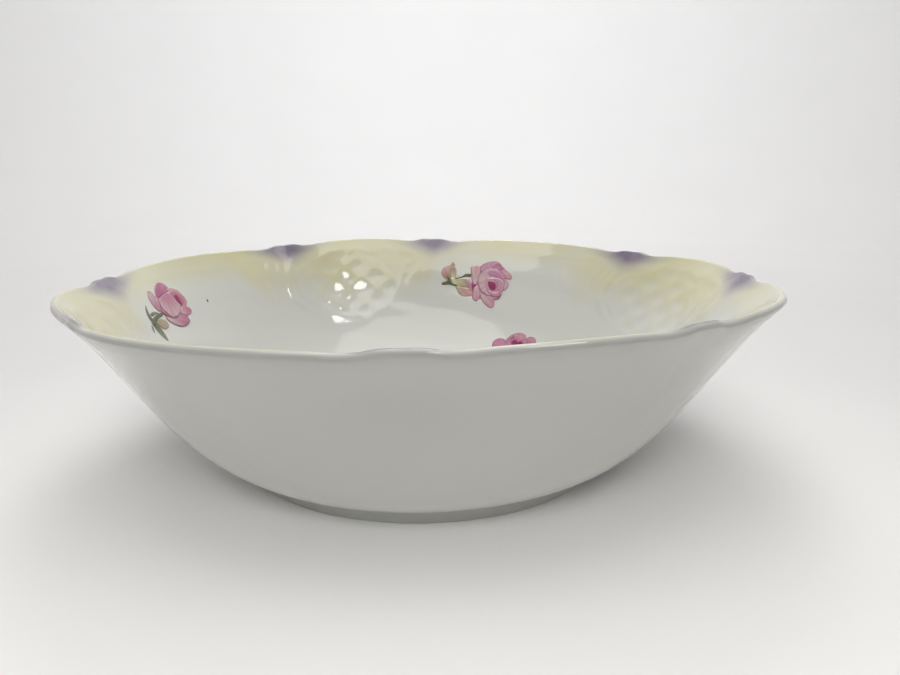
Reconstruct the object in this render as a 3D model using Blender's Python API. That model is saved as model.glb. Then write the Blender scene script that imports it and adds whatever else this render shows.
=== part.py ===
"""Porcelain serving bowl: a scalloped bowl on a foot ring, with printed rose transfers fired on its glaze.

Metres, +Z up. The origin is the middle of the plane that the foot ring rests on. Azimuths are degrees
from +X towards +Y. The rim repeats every quarter turn: a narrow relief panel, a lobe tip, a wide plain
panel and another lobe tip.
"""

import bmesh
import bpy
import numpy as np

# The turned shape, before the rim is scalloped
RIM_RADIUS = 0.1110  # outermost lip, where two panels meet
RIM_HEIGHT = 0.0614  # top of the lip, where two panels meet
FOOT_RADIUS = 0.0614  # outside of the foot ring
FOOT_HEIGHT = 0.0046  # foot ring below the wall
FOOT_WIDTH = 0.0034
FOOT_ROUNDING = 0.0008  # bevel on both edges of its sole
FOOT_FILLET = 0.0017  # where it curves into the recess and into the wall
FLOOR_HEIGHT = 0.0079  # inside floor, at the middle
FLOOR_RADIUS = 0.050  # where the inside starts to rise
RECESS_HEIGHT = 0.0032  # underside of the floor, inside the foot ring
FLARE = 0.0026  # the lip turns outwards this far
FLARE_START = 0.0463  # height where it starts to turn

# The scalloped rim
QUARTER = 90.0
RELIEF_PANEL = 37.5  # degrees of rim from lobe tip to lobe tip; the plain panel takes the rest
PANEL_BULGE = 0.0037  # the middle of a panel stands out this far past the lobe tips
RELIEF_RISE = 0.0016  # and up this far
PLAIN_RISE = 0.0013
VALLEY_ROUNDING = 1.3  # degrees, where two panels' arches meet
LOBE_HEIGHT = 0.0011  # a lobe tip stands up this far
LOBE_BULGE = 0.0012  # and out this far
LOBE_WIDTH = 0.0072  # from its middle to where it has faded
NOTCH_OFFSET = 0.013  # the small dip on each side of a lobe tip
NOTCH_WIDTH = 0.005
NOTCH_DEPTH = 0.0003
SCALLOP_START = 0.030  # the panels fade out below this height
LOBE_START = 0.050  # the lobe tips fade out below this height
KILN_WARP = 0.0013  # the rim sagged this far into a saddle in the kiln
WARP_AZIMUTH = 107.5  # one of the saddle's two high points

# The rose transfers
TRANSFER_GAP = 0.0003
TRANSFER_THICKNESS = 0.0003
TRANSFER_RINGS = 4
TRANSFER_SPOKES = 28

# How finely the body is divided
AZIMUTH_STEP = 2.5
OUTER_STEPS = 9
INNER_STEPS = 12
LIP_STEPS = 5
UNDERSIDE_RINGS = [0.020, 0.040]
FLOOR_RINGS = [0.030, 0.015]


def clear_scene():
    for obj in list(bpy.data.objects):
        bpy.data.objects.remove(obj, do_unlink=True)


def make_material(name, colour, roughness):
    material = bpy.data.materials.new(name)
    material.use_nodes = True
    shader = material.node_tree.nodes["Principled BSDF"]
    shader.inputs["Base Color"].default_value = (*colour, 1.0)
    shader.inputs["Roughness"].default_value = roughness
    shader.inputs["Metallic"].default_value = 0.0
    return material


def smoothstep(low, high, value):
    share = np.clip((value - low) / (high - low), 0.0, 1.0)
    return share * share * (3.0 - 2.0 * share)


def bezier(points, steps):
    """Points of a cubic Bezier from its first control point to its last, both included."""
    a, b, c, d = np.array(points)
    t = np.linspace(0.0, 1.0, steps + 1)[:, None]
    return (1 - t) ** 3 * a + 3 * (1 - t) ** 2 * t * b + 3 * (1 - t) * t**2 * c + t**3 * d


# Outlines as (radius, height): control points of the wall's two faces, before the lip is flared
OUTER_WALL = [
    (FOOT_RADIUS + FOOT_FILLET, FOOT_HEIGHT),
    (0.0807, 0.0105),
    (0.0942, 0.0318),
    (RIM_RADIUS - FLARE - 0.0003, RIM_HEIGHT - 0.0019),
]
INNER_WALL = [
    (FLOOR_RADIUS, FLOOR_HEIGHT),
    (0.0798, FLOOR_HEIGHT),
    (0.0889, 0.0315),
    (RIM_RADIUS - FLARE - 0.0024, RIM_HEIGHT - 0.0006),
]


def wall_face(points, steps):
    """One face of the wall from its foot to its lip, with the lip flared."""
    face = bezier(points, steps)
    turned_out = np.clip((face[:, 1] - FLARE_START) / (points[-1][1] - FLARE_START), 0.0, 1.0)
    face[:, 0] += FLARE * turned_out**2
    return face


def quarter_arc(centre, start, steps):
    """A clockwise quarter circle of the fillet's radius, from this angle in degrees."""
    turns = np.radians(start - np.linspace(0.0, QUARTER, steps + 1))
    return [(centre[0] + FOOT_FILLET * np.cos(t), centre[1] + FOOT_FILLET * np.sin(t)) for t in turns]


def foot_outline():
    """The foot ring's section, from the recess inside it round its flat sole to the wall."""
    inside = FOOT_RADIUS - FOOT_WIDTH
    recess_fillet = quarter_arc((inside - FOOT_FILLET, RECESS_HEIGHT - FOOT_FILLET), 90.0, 2)
    wall_fillet = quarter_arc((FOOT_RADIUS + FOOT_FILLET, FOOT_HEIGHT - FOOT_FILLET), 180.0, 2)
    sole = [
        (inside, FOOT_ROUNDING),
        (inside + FOOT_ROUNDING, 0.0),
        (FOOT_RADIUS - FOOT_ROUNDING, 0.0),
        (FOOT_RADIUS, FOOT_ROUNDING),
    ]
    return np.array(recess_fillet + sole + wall_fillet[:-1])


def lip_outline():
    """The half round that joins the wall's two faces, without its two ends."""
    outer, inner = wall_face(OUTER_WALL, 1)[-1], wall_face(INNER_WALL, 1)[-1]
    middle, arm = (outer + inner) / 2, (outer - inner) / 2
    upward = np.array([-arm[1], arm[0]])
    turns = np.linspace(0.0, np.pi, LIP_STEPS + 2)[1:-1]
    return np.array([middle + arm * np.cos(turn) + upward * np.sin(turn) for turn in turns])


def body_outline():
    """The bowl's whole section from the underside's middle to the floor's middle, as (radius, height)."""
    underside = [(radius, RECESS_HEIGHT) for radius in UNDERSIDE_RINGS]
    floor = [(radius, FLOOR_HEIGHT) for radius in FLOOR_RINGS]
    inner = wall_face(INNER_WALL, INNER_STEPS)[::-1]
    outer = wall_face(OUTER_WALL, OUTER_STEPS)
    return np.concatenate([underside, foot_outline(), outer, lip_outline(), inner, floor])


def panel_position(azimuth):
    """How high an azimuth stands in its panel's arch, from 0 to 1, whether it is a relief panel, and how
    far along the rim the nearest lobe tip is, in metres."""
    turn = azimuth % QUARTER
    in_relief = turn < RELIEF_PANEL
    width = RELIEF_PANEL if in_relief else QUARTER - RELIEF_PANEL
    nearest = min(turn, abs(turn - RELIEF_PANEL), QUARTER - turn)
    rounded = np.hypot(nearest, VALLEY_ROUNDING) - VALLEY_ROUNDING
    share = 1.0 - 2.0 * rounded / width
    return 1.0 - share**2, in_relief, RIM_RADIUS * np.radians(nearest)


def shaped(radius, height, azimuth):
    """The point of the finished bowl for one point of its turned shape: scalloped, lobed and warped."""
    arch, in_relief, along = panel_position(azimuth)
    lobe = np.exp(-((along / LOBE_WIDTH) ** 4))
    notch = np.exp(-(((along - NOTCH_OFFSET) / NOTCH_WIDTH) ** 2))
    panel_share = smoothstep(SCALLOP_START, RIM_HEIGHT, height)
    lobe_share = smoothstep(LOBE_START, RIM_HEIGHT, height)
    warp = KILN_WARP * np.cos(2 * np.radians(azimuth - WARP_AZIMUTH))
    rise = RELIEF_RISE if in_relief else PLAIN_RISE
    radius += PANEL_BULGE * arch * panel_share + (LOBE_BULGE * lobe - NOTCH_DEPTH * notch) * lobe_share
    height += (rise * arch + warp) * panel_share + (LOBE_HEIGHT * lobe - NOTCH_DEPTH * notch) * lobe_share
    return (radius * np.cos(np.radians(azimuth)), radius * np.sin(np.radians(azimuth)), height)


def make_object(name, mesh_builder, material):
    mesh = bpy.data.meshes.new(name)
    mesh_builder.normal_update()
    bmesh.ops.recalc_face_normals(mesh_builder, faces=mesh_builder.faces)
    mesh_builder.to_mesh(mesh)
    mesh_builder.free()
    mesh.materials.append(material)
    mesh.shade_smooth()
    obj = bpy.data.objects.new(name, mesh)
    bpy.context.scene.collection.objects.link(obj)
    return obj


def bridge(builder, rings):
    """Faces between neighbouring closed rings of vertices."""
    for lower, upper in zip(rings, rings[1:]):
        for i in range(len(lower)):
            j = (i + 1) % len(lower)
            builder.faces.new((lower[i], lower[j], upper[j], upper[i]))


def cap(builder, ring, centre):
    for i in range(len(ring)):
        builder.faces.new((ring[i], ring[(i + 1) % len(ring)], centre))


def make_body(material):
    builder = bmesh.new()
    azimuths = np.arange(0.0, 360.0, AZIMUTH_STEP)
    rings = [
        [builder.verts.new(shaped(radius, height, azimuth)) for azimuth in azimuths]
        for radius, height in body_outline()
    ]
    bridge(builder, rings)
    cap(builder, rings[0], builder.verts.new((0, 0, RECESS_HEIGHT)))
    cap(builder, rings[-1], builder.verts.new((0, 0, FLOOR_HEIGHT)))
    return make_object("bowl_body", builder, material)


class InsideWall:
    """The inside face of the wall, measured along its section from the edge of the floor."""

    def __init__(self):
        self.outline = wall_face(INNER_WALL, 200)
        steps = np.hypot(*np.diff(self.outline, axis=0).T)
        self.lengths = np.concatenate([[0.0], np.cumsum(steps)])
        self.slopes = np.gradient(self.outline, self.lengths, axis=0)

    def point(self, along, azimuth, lift):
        """The point at this distance up the wall, lifted off the glaze towards the inside."""
        radius = np.interp(along, self.lengths, self.outline[:, 0])
        height = np.interp(along, self.lengths, self.outline[:, 1])
        slope_r = np.interp(along, self.lengths, self.slopes[:, 0])
        slope_h = np.interp(along, self.lengths, self.slopes[:, 1])
        return shaped(radius - slope_h * lift, height + slope_r * lift, azimuth)

    def radius(self, along):
        return float(np.interp(along, self.lengths, self.outline[:, 0]))


def transfer_reach(angle, outline):
    """How far a transfer reaches from its middle in this direction, rounded between the given reaches."""
    closed = outline + [(360, outline[0][1])]
    for (start, reach), (end, next_reach) in zip(closed, closed[1:]):
        if start <= angle < end:
            share = smoothstep(start, end, angle)
            return reach * (1 - share) + next_reach * share
    raise ValueError(f"no reach is given for {angle} degrees")


def make_transfer(name, azimuth, along, outline, material):
    """One printed spray as a thin closed film that follows the wall.

    azimuth and along say where its middle is. outline holds (direction in degrees, reach), where
    0 is towards the right as seen from the bowl's middle and 90 is up the wall.
    """
    wall = InsideWall()
    arm = wall.radius(along)
    builder = bmesh.new()

    def film_point(angle, share, lift):
        reach = share * transfer_reach(angle, outline)
        across = reach * np.cos(np.radians(angle))
        up = reach * np.sin(np.radians(angle))
        return wall.point(along + up, azimuth - np.degrees(across / arm), lift)

    def film_rings(lift):
        shares = [ring / TRANSFER_RINGS for ring in range(1, TRANSFER_RINGS + 1)]
        angles = [360.0 * spoke / TRANSFER_SPOKES for spoke in range(TRANSFER_SPOKES)]
        rings = [[builder.verts.new(film_point(a, s, lift)) for a in angles] for s in shares]
        return builder.verts.new(wall.point(along, azimuth, lift)), rings

    back_middle, back = film_rings(TRANSFER_GAP)
    front_middle, front = film_rings(TRANSFER_GAP + TRANSFER_THICKNESS)
    bridge(builder, back + front[::-1])
    cap(builder, back[0], back_middle)
    cap(builder, front[0], front_middle)
    return make_object(name, builder, material)


# Outlines of the printed sprays, as (direction in degrees, reach)
SINGLE_ROSE = [
    (0, 0.0120),
    (60, 0.0120),
    (120, 0.0120),
    (170, 0.0130),
    (208, 0.0190),
    (245, 0.0120),
    (310, 0.0115),
]
ROSE_WITH_BUDS = [
    (0, 0.0175),
    (60, 0.0130),
    (105, 0.0090),
    (158, 0.0200),
    (220, 0.0120),
    (260, 0.0100),
    (304, 0.0155),
]
LOW_POSY = [
    (0, 0.0125),
    (45, 0.0140),
    (90, 0.0135),
    (135, 0.0140),
    (180, 0.0125),
    (235, 0.0160),
    (305, 0.0160),
]

# Each spray: its name, the azimuth of its middle, how far up the wall it is, and its outline
SPRAYS = [
    ("rose_transfer_back_left", 167.0, 0.0665, SINGLE_ROSE),
    ("rose_transfer_back_right", 77.0, 0.0630, ROSE_WITH_BUDS),
    ("rose_transfer_front_right", 327.0, 0.0600, SINGLE_ROSE),
    ("rose_transfer_front_left", 257.0, 0.0630, ROSE_WITH_BUDS),
    ("rose_transfer_low_wall", 62.0, 0.0260, LOW_POSY),
]


def main():
    clear_scene()
    make_body(make_material("porcelain_glaze", (0.84, 0.84, 0.81), 0.10))
    print_red = make_material("rose_print", (0.62, 0.22, 0.36), 0.22)
    for name, azimuth, along, outline in SPRAYS:
        make_transfer(name, azimuth, along, outline, print_red)


main()
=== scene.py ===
"""Looks of the porcelain serving bowl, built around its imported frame.

Metres, +Z up, in the frame of the CAD model. Azimuths are degrees from +X towards +Y. The moulded relief
and the prints are drawn on the inside of the wall, in millimetres: across the wall and below the lip.
"""

import math

import bmesh
import bpy
import numpy as np
from mathutils import Matrix, Vector
from mathutils.geometry import delaunay_2d_cdt


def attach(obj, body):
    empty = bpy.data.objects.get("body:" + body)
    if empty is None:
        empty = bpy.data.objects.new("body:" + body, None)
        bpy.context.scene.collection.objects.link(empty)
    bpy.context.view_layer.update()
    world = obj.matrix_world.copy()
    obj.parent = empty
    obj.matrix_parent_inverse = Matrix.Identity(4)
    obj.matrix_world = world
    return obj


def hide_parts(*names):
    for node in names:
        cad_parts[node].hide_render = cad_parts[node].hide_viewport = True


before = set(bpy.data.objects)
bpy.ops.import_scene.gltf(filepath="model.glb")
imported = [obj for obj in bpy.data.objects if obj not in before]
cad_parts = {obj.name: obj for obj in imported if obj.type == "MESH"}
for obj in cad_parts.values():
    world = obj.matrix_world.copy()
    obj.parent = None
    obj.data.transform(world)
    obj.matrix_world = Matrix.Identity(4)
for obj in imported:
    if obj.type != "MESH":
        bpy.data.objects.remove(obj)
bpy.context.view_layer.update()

MM = 0.001

# The body's shape, as in the CAD model
RIM_RADIUS = 0.1110
RIM_HEIGHT = 0.0614
FOOT_RADIUS = 0.0614
FOOT_HEIGHT = 0.0046
FOOT_WIDTH = 0.0034
FOOT_ROUNDING = 0.0008
FOOT_FILLET = 0.0017
FLOOR_HEIGHT = 0.0079
FLOOR_RADIUS = 0.050
RECESS_HEIGHT = 0.0032
FLARE = 0.0026
FLARE_START = 0.0463
QUARTER = 90.0
RELIEF_PANEL = 37.5
PANEL_BULGE = 0.0037
RELIEF_RISE = 0.0016
PLAIN_RISE = 0.0013
VALLEY_ROUNDING = 1.3
LOBE_HEIGHT = 0.0011
LOBE_BULGE = 0.0012
LOBE_WIDTH = 0.0072
NOTCH_OFFSET = 0.013
NOTCH_WIDTH = 0.005
NOTCH_DEPTH = 0.0003
SCALLOP_START = 0.030
LOBE_START = 0.050
LIP_SETTLE = 0.00002  # how far the lip's round stays inside the CAD model's
KILN_WARP = 0.0013
WARP_AZIMUTH = 107.5
OUTER_WALL = [
    (FOOT_RADIUS + FOOT_FILLET, FOOT_HEIGHT),
    (0.0807, 0.0105),
    (0.0942, 0.0318),
    (RIM_RADIUS - FLARE - 0.0003, RIM_HEIGHT - 0.0019),
]
INNER_WALL = [
    (FLOOR_RADIUS, FLOOR_HEIGHT),
    (0.0798, FLOOR_HEIGHT),
    (0.0889, 0.0315),
    (RIM_RADIUS - FLARE - 0.0024, RIM_HEIGHT - 0.0006),
]

# The section beyond the wall
SOLE_SHARE = 0.3  # the sole is bare clay up to this share of the foot's rounding
RECESS_ROWS = (0.020, 0.040)
FLOOR_ROWS = (0.030, 0.015)
LIP_START = 0.0003  # how far over the lip its first row is
OUTSIDE = -99.0 * MM  # the depth given to rows outside, where nothing is sprayed or moulded

# How finely the body is divided
COLUMNS = 768
COLUMNS_PER_QUARTER = COLUMNS // 4
FINE_DEPTH = 0.036  # the relief ends above this depth below the lip
FINE_ROWS = 45
COARSE_ROWS = 24
WALL_SAMPLES = 400
OUTER_ROWS = 18
LIP_ROWS = 9

# The relief's own coordinates: across the wall from the lobe tip where the plain panel begins, and below
# the lip, both in millimetres
ACROSS_PER_DEGREE = 1.728
RELIEF_ACROSS = RELIEF_PANEL * ACROSS_PER_DEGREE
PLAIN_ACROSS = (QUARTER - RELIEF_PANEL) * ACROSS_PER_DEGREE


def smoothstep(low, high, value):
    share = np.clip((value - low) / (high - low), 0.0, 1.0)
    return share * share * (3.0 - 2.0 * share)


def curve_through(points, samples, closed=False):
    """Catmull-Rom curve through the points, as an array of samples for each span."""
    points = np.array(points, float)
    if closed:
        padded = np.concatenate([points[-1:], points, points[:2]])
    else:
        padded = np.concatenate([[2 * points[0] - points[1]], points, [2 * points[-1] - points[-2]]])
    t = np.linspace(0.0, 1.0, samples, endpoint=False)[:, None]
    spans = []
    for a, b, c, d in zip(padded, padded[1:], padded[2:], padded[3:]):
        bend = (2 * a - 5 * b + 4 * c - d) * t**2 + (3 * b - a - 3 * c + d) * t**3
        spans.append(b + 0.5 * ((c - a) * t + bend))
    if not closed:
        spans.append(points[-1:])
    return np.concatenate(spans)


# ---------------------------------------------------------------- the turned and scalloped surface


def bezier(points, steps):
    a, b, c, d = np.array(points)
    t = np.linspace(0.0, 1.0, steps + 1)[:, None]
    return (1 - t) ** 3 * a + 3 * (1 - t) ** 2 * t * b + 3 * (1 - t) * t**2 * c + t**3 * d


def wall_face(points, steps):
    """One face of the wall from its foot to its lip, with the lip flared."""
    face = bezier(points, steps)
    turned_out = np.clip((face[:, 1] - FLARE_START) / (points[-1][1] - FLARE_START), 0.0, 1.0)
    face[:, 0] += FLARE * turned_out**2
    return face


def arc(centre, radius, start, end, steps):
    turns = np.radians(np.linspace(start, end, steps + 1))
    return [(centre[0] + radius * math.cos(t), centre[1] + radius * math.sin(t)) for t in turns]


def foot_outline():
    """The foot ring's section, from the recess inside it round its sole to the wall."""
    inside = FOOT_RADIUS - FOOT_WIDTH
    round_in = (inside + FOOT_ROUNDING, FOOT_ROUNDING)
    round_out = (FOOT_RADIUS - FOOT_ROUNDING, FOOT_ROUNDING)
    return np.array(
        arc((inside - FOOT_FILLET, RECESS_HEIGHT - FOOT_FILLET), FOOT_FILLET, 90, 0, 4)
        + arc(round_in, FOOT_ROUNDING, 180, 270, 3)
        + arc(round_out, FOOT_ROUNDING, 270, 360, 3)
        + arc((FOOT_RADIUS + FOOT_FILLET, FOOT_HEIGHT - FOOT_FILLET), FOOT_FILLET, 180, 90, 4)[:-1]
    )


def lip_outline():
    """The half round that joins the wall's two faces, without its two ends."""
    outer, inner = wall_face(OUTER_WALL, 1)[-1], wall_face(INNER_WALL, 1)[-1]
    middle, arm = (outer + inner) / 2 - LIP_SETTLE, (outer - inner) / 2
    upward = np.array([-arm[1], arm[0]])
    turns = np.linspace(0.0, np.pi, LIP_ROWS + 2)[1:-1]
    return np.array([middle + arm * np.cos(turn) + upward * np.sin(turn) for turn in turns])


def shaped(radius, height, azimuth):
    """Points of the finished bowl for points of its turned shape: scalloped, lobed and warped."""
    radius, height, azimuth = np.broadcast_arrays(radius, height, azimuth)
    turn = azimuth % QUARTER
    in_relief = turn < RELIEF_PANEL
    width = np.where(in_relief, RELIEF_PANEL, QUARTER - RELIEF_PANEL)
    panel_rise = np.where(in_relief, RELIEF_RISE, PLAIN_RISE)
    nearest = np.minimum(np.minimum(turn, abs(turn - RELIEF_PANEL)), QUARTER - turn)
    rounded = np.hypot(nearest, VALLEY_ROUNDING) - VALLEY_ROUNDING
    arch = 1.0 - (1.0 - 2.0 * rounded / width) ** 2
    along = RIM_RADIUS * np.radians(nearest)
    lobe = np.exp(-((along / LOBE_WIDTH) ** 4))
    notch = np.exp(-(((along - NOTCH_OFFSET) / NOTCH_WIDTH) ** 2))
    panel_share = smoothstep(SCALLOP_START, RIM_HEIGHT, height)
    lobe_share = smoothstep(LOBE_START, RIM_HEIGHT, height)
    warp = KILN_WARP * np.cos(2 * np.radians(azimuth - WARP_AZIMUTH))
    lobe_out, lobe_up = LOBE_BULGE * lobe - NOTCH_DEPTH * notch, LOBE_HEIGHT * lobe - NOTCH_DEPTH * notch
    radius = radius + PANEL_BULGE * arch * panel_share + lobe_out * lobe_share
    height = height + (panel_rise * arch + warp) * panel_share + lobe_up * lobe_share
    turned = np.radians(azimuth)
    return np.stack([radius * np.cos(turned), radius * np.sin(turned), height], axis=-1)


class InsideWall:
    """The inside face of the wall, measured along its section from the edge of the floor."""

    def __init__(self):
        self.outline = wall_face(INNER_WALL, WALL_SAMPLES)
        steps = np.hypot(*np.diff(self.outline, axis=0).T)
        self.lengths = np.concatenate([[0.0], np.cumsum(steps)])
        self.length = self.lengths[-1]
        self.slopes = np.gradient(self.outline, self.lengths, axis=0)

    def section(self, along, lift=0.0):
        """Radius and height at this distance up the wall, lifted off the glaze towards the inside."""
        radius, height = (np.interp(along, self.lengths, self.outline[:, i]) for i in (0, 1))
        slope_r, slope_h = (np.interp(along, self.lengths, self.slopes[:, i]) for i in (0, 1))
        return radius - slope_h * lift, height + slope_r * lift

    def point(self, along, azimuth, lift):
        return shaped(*self.section(along, lift), azimuth)


WALL = InsideWall()

# ---------------------------------------------------------------- the moulded relief

# The trellis: shallow cells between crossing bars, in a shield that is sunk a little into the wall
TRELLIS_MIDDLE = (-24.2, 23.7)  # one of the crossings
TRELLIS_PITCH = (14.0, 10.6)
CELL_DEPTH = 0.31
CELL_FULLNESS = 0.6
SHIELD_MIDDLE = (-26.5, 20.5)
SHIELD_REACH = (21.5, 15.5)
SHIELD_DEPTH = 0.66
SHIELD_FADE = 0.82  # the cells run out from here to the shield's edge

# Raised strokes as (points, half width, rise), from one end of the stroke to the other
SCROLLS = [
    ([(-8, 5.8), (-2.2, 7.4), (2.2, 11.4), (4.4, 19.2), (2.6, 26), (-5, 31.8)], 2.3, 0.26),
    ([(-8.2, 9.4), (-0.8, 13.3), (-0.9, 22.5), (-6.6, 29.3)], 1.9, 0.18),
    ([(-5, 31.8), (-14, 34), (-24.5, 35.4), (-35, 33.6), (-46, 29)], 1.8, 0.08),
    ([(-47.5, 9), (-50, 14), (-49.5, 21), (-46, 29)], 2.0, 0.16),
    ([(-48, 6.2), (-52.3, 5.3), (-56, 7.6), (-56.2, 10.6), (-52.6, 12), (-51.2, 9.5)], 1.7, 0.20),
    ([(-59.4, 9.5), (-58.4, 15), (-54.5, 20.5), (-53.1, 26.5)], 2.1, 0.17),
    ([(-63, 10.5), (-62.5, 14.5), (-59.5, 19), (-57.5, 23.5)], 1.9, 0.12),
    ([(31, 9.4), (28.3, 15), (24.5, 20.7), (19, 23.5)], 2.0, 0.14),
    ([(78, 4.6), (68, 5.2), (52, 6.2), (42, 6.3), (28, 6), (20, 4.8), (12, 5)], 1.8, 0.09),
]
FEATHER_TOPS = [(6.1, 8.4), (10.3, 6.3), (15.2, 7.4), (19.9, 6.9), (24.6, 8)]
FEATHER_FEET = [(4.8, 20.7), (8.7, 20.2), (13.9, 22.5), (17.9, 21.2), (21.6, 20)]
FEATHER_BOW = 1.5
FEATHER_WIDTH = 2.4
FEATHER_RISE = 0.22
FEATHER_STEP = 0.03  # each feather is this much lower than the one before
FESTOON_FEET = [-13.5, -25.2, -37, -48.5]  # arches hung side by side above the trellis
FESTOON_DEPTHS = (4.8, 7.8)
FESTOON_WIDTH = 1.8
FESTOON_RISE = 0.15
STROKE_ENDS = 0.06  # this share of the taper is left off each end of a stroke, so the ends are blunt
STROKE_BLUNTNESS = 0.4
RELIEF_START = 2.0  # the relief comes up to its full height over this depth
UNEVENNESS = 0.05  # height of the slow waves that hand finishing left in the wall
UNEVEN_LEAN = 3.0  # degrees that the waves lean over for each millimetre of depth
UNEVEN_FADE = 12.0


def local_across(azimuth):
    """Millimetres across the wall from the lobe tip where the plain panel begins; the relief panel is
    on the negative side."""
    turn = (azimuth - RELIEF_PANEL) % QUARTER
    return np.where(turn <= QUARTER - RELIEF_PANEL, turn, turn - QUARTER) * ACROSS_PER_DEGREE


def stroke_rise(across, depth, points, width, rise):
    """A raised stroke that tapers to both ends."""
    line = curve_through(points, 8)
    tapers = np.sin(np.pi * np.linspace(STROKE_ENDS, 1.0 - STROKE_ENDS, len(line))) ** STROKE_BLUNTNESS
    highest = np.zeros_like(across)
    for (x, y), taper in zip(line, tapers):
        closeness = 1.0 - ((across - x) ** 2 + (depth - y) ** 2) / (width * taper) ** 2
        highest = np.maximum(highest, rise * taper * np.clip(closeness, 0.0, 1.0))
    return highest


def shield_edge(across, depth):
    """0 in the middle of the trellis shield and 1 on its edge."""
    steps_across = (across - SHIELD_MIDDLE[0]) / SHIELD_REACH[0]
    steps_down = (depth - SHIELD_MIDDLE[1]) / SHIELD_REACH[1]
    return steps_across**2 + steps_down**2


def trellis_cells(across, depth):
    """1 in the middle of each cell of the trellis, 0 on the bars and outside the shield."""
    steps_across = (across - TRELLIS_MIDDLE[0]) / TRELLIS_PITCH[0]
    steps_down = (depth - TRELLIS_MIDDLE[1]) / TRELLIS_PITCH[1]
    falling, rising = steps_across + steps_down, steps_across - steps_down
    cell = 1.0 - (1.0 - np.abs(np.sin(np.pi * falling) * np.sin(np.pi * rising))) ** CELL_FULLNESS
    return cell * (1.0 - smoothstep(SHIELD_FADE, 1.0, shield_edge(across, depth)))


def feather_ribs():
    """Curved ribs side by side, lower towards the plain wall."""
    ribs = []
    for i, (top, foot) in enumerate(zip(FEATHER_TOPS, FEATHER_FEET)):
        middle = ((top[0] + foot[0]) / 2 + FEATHER_BOW, (top[1] + foot[1]) / 2)
        ribs.append(([top, middle, foot], FEATHER_WIDTH, FEATHER_RISE - FEATHER_STEP * i))
    return ribs


def festoons():
    """Small arches side by side, hanging from one depth up to the other."""
    high, low = FESTOON_DEPTHS
    return [
        ([(start, low), ((start + end) / 2, high), (end, low)], FESTOON_WIDTH, FESTOON_RISE)
        for start, end in zip(FESTOON_FEET, FESTOON_FEET[1:])
    ]


def softened(field):
    """The field after the glaze has filled its sharpest corners."""
    padded = np.pad(field, 1, mode="edge")
    field = (padded[:-2, 1:-1] + 2 * padded[1:-1, 1:-1] + padded[2:, 1:-1]) / 4
    padded = np.pad(field, 1, mode="edge")
    return (padded[1:-1, :-2] + 2 * padded[1:-1, 1:-1] + padded[1:-1, 2:]) / 4


def relief_rise(across, depth):
    """How far the relief stands off the wall, in millimetres; the trellis shield lies below the wall."""
    rise = np.zeros_like(across)
    for points, width, height in SCROLLS + feather_ribs() + festoons():
        rise = np.maximum(rise, stroke_rise(across, depth, points, width, height))
    rise -= SHIELD_DEPTH * np.clip(1.0 - shield_edge(across, depth), 0.0, 1.0)
    return softened(rise - CELL_DEPTH * trellis_cells(across, depth))


def sway(azimuth, seed, waves):
    """A slow irregular wave round the bowl, from about -1 to 1."""
    turned = np.radians(azimuth)
    return sum(np.sin(turned * n + seed * n * 1.7) / math.sqrt(len(waves)) for n in waves)


# ---------------------------------------------------------------- the body


def section_rows():
    """The whole section as rows of (radius, height, depth below the lip), from the recess round the foot,
    up the outside, over the lip and down to the floor. The depth is negative over the lip and outside."""
    rows = [(radius, RECESS_HEIGHT, OUTSIDE) for radius in RECESS_ROWS]
    rows += [(radius, height, OUTSIDE) for radius, height in foot_outline()]
    rows += [(radius, height, OUTSIDE) for radius, height in wall_face(OUTER_WALL, OUTER_ROWS)]
    lip = lip_outline()
    over_lip = np.cumsum(np.hypot(*np.diff(lip[::-1], axis=0).T))
    over_lip = np.concatenate([[0.0], over_lip])[::-1] + LIP_START
    rows += [(radius, height, -depth) for (radius, height), depth in zip(lip, over_lip)]
    fine = np.linspace(0.0, FINE_DEPTH, FINE_ROWS, endpoint=False)
    depths = np.concatenate([fine, np.linspace(FINE_DEPTH, WALL.length, COARSE_ROWS)])
    for depth in depths:
        radius, height = WALL.section(WALL.length - depth)
        rows.append((radius, height, depth))
    rows += [(radius, FLOOR_HEIGHT, WALL.length + FLOOR_RADIUS - radius) for radius in FLOOR_ROWS]
    return np.array(rows, float)


# The sprayed colours, in millimetres across the wall and below the lip
OVER_LIP = (-2.1, -1.2)  # both fade out between these depths, over the lip
PANEL_BLEND = 6.0  # how far to each side of a lobe tip the band changes from one panel to the next
FEATHER_SPRAY_START = (-6.0, 2.0)
FEATHER_SPRAY_END = (30.0, 16.0)
BAND_REACH = 17.0  # on the plain panels
BAND_DROP = 14.0  # further on the relief
BAND_FADE = (0.1, 0.2)  # shares of its reach where it starts to fade: plain, and further on the relief
BAND_SWAY = 2.0
BAND_STRENGTH = 0.84
BAND_PATCHES = 0.10
CELL_PALENESS = 0.30  # glaze runs off the cells' middles
BAR_POOLING = 0.22  # and pools along the bars
POOL_EDGE = (1.05, 0.75)  # the pooling fades in between these, from the shield's edge inwards
POOL_CELLS = 0.35  # and ends where a cell is this deep
BAND_UNDER_TIP = 0.7  # share of the band that the lilac hides
TIP_SPREAD = 11.5
TIP_SWAY = 1.5
TIP_REACH = 3.7
TIP_DROP = 7.0  # further down in the middle of a lobe
TIP_WIDTH = 9.0
TIP_START = 0.8
HALO_STRENGTH = 0.14
HALO_SPREAD = 13.0
HALO_DEPTHS = (4.0, 15.0)


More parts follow.
